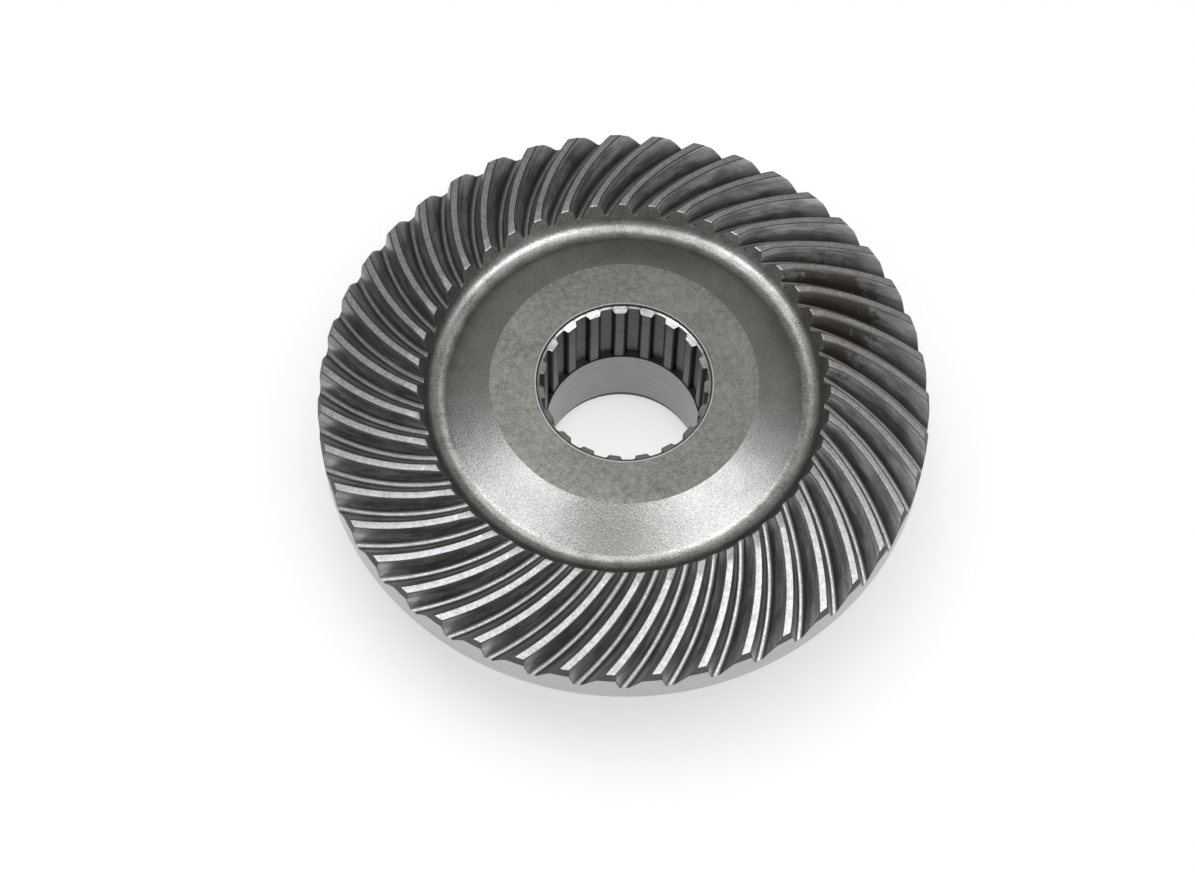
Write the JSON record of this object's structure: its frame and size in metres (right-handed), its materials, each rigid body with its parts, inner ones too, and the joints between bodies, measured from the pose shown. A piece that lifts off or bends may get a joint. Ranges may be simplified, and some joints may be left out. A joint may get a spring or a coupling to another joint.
{
  "type": "spiral bevel gear",
  "caption": "Spiral bevel ring gear in machined steel, with curved teeth on its face, a raised conical hub and a splined through bore.",
  "frame": {"origin": "on the gear's axis, at the base of the rear hub that it stands on", "axes": "+Z along the gear's axis towards the toothed side"},
  "size_m": [0.195, 0.195, 0.06],
  "materials": {
    "gear_steel": "machined, heat treated and blasted steel with ground tooth tips"
  },
  "bodies": {
    "root": {"spiral_bevel_gear": "gear_steel"}
  },
  "joints": []
}
